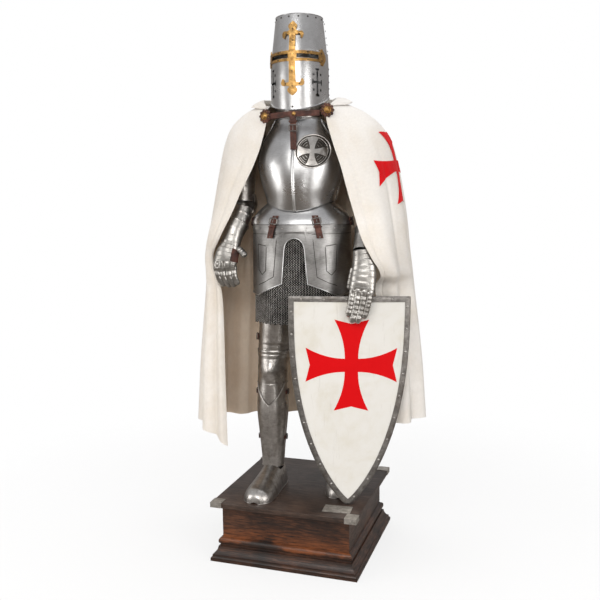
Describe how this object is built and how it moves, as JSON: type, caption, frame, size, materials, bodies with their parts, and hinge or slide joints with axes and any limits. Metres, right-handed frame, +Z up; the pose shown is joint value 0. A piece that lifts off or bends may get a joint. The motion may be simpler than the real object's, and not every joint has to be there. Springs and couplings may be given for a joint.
{
  "type": "suit of plate armour with hooded mantle and shield on a wooden plinth",
  "caption": "Full-size display suit of plate armour standing on a square wooden plinth, with a great helm, mail skirt, white hooded mantle and a heater shield held in one gauntlet.",
  "frame": {"origin": "on the floor, under the middle of the plinth, on the underside of its bottom board", "axes": "+Z up, the plinth faces -Y and the suit on it is turned a little towards its own left of that, +X to the left of the suit"},
  "size_m": [0.9686, 0.586, 2.0639],
  "materials": {
    "bright_steel": "polished plate with fine brushing, soft swirls and a few dull spots",
    "brass": "aged brass, worn brighter on its edges",
    "aged_steel": "darker plate with oiled patina and bright worn edges",
    "mail": "dark linked rings",
    "brown_leather": "dark brown leather straps with pricked edges",
    "white_wool": "off-white wool cloth, softly creased",
    "red_wool": "red wool cross sewn on the shoulder",
    "painted_board": "aged off-white paint with a red cross on a curved board",
    "iron": "dull dark iron with small rivets",
    "oak": "dark stained wood, satin varnish"
  },
  "bodies": {
    "root": {"helm_face": "bright_steel", "helm_skull": "bright_steel", "helm_top": "bright_steel", "breastplate": "bright_steel", "backplate": "bright_steel", "fauld": "bright_steel", "tassets": "bright_steel", "culet": "bright_steel", "helm_cross": "brass", "gorget": "aged_steel", "upper_arm_right": "aged_steel", "upper_arm_left": "aged_steel", "couter_right": "aged_steel", "couter_left": "aged_steel", "vambrace_right": "aged_steel", "vambrace_left": "aged_steel", "cuff_right": "aged_steel", "cuff_left": "aged_steel", "hand_right": "aged_steel", "hand_left": "aged_steel", "fingers_right": "aged_steel", "fingers_left": "aged_steel", "thumb_right": "aged_steel", "thumb_left": "aged_steel", "cuisse_right": "aged_steel", "cuisse_left": "aged_steel", "poleyn_right": "aged_steel", "poleyn_left": "aged_steel", "greave_right": "aged_steel", "greave_left": "aged_steel", "sabaton_right": "aged_steel", "sabaton_left": "aged_steel", "mail_skirt": "mail", "mantle_strap": "brown_leather", "rosette_right": "brown_leather", "rosette_left": "brown_leather", "hip_strap_right": "brown_leather", "hip_strap_left": "brown_leather", "side_strap_right": "brown_leather", "side_strap_left": "brown_leather", "thigh_strap_right": "brown_leather", "thigh_strap_left": "brown_leather", "mantle_right": "white_wool", "mantle_back": "white_wool", "mantle_left": "white_wool", "hood": "white_wool", "mantle_cross": "red_wool", "shield_board": "painted_board", "shield_rim": "iron", "name_plate": "iron", "corner_front_left": "iron", "corner_front_right": "iron", "corner_back_right": "iron", "corner_back_left": "iron", "plinth_lid": "oak", "plinth_box": "oak", "plinth_moulding": "oak", "plinth_bottom": "oak"}
  },
  "joints": []
}
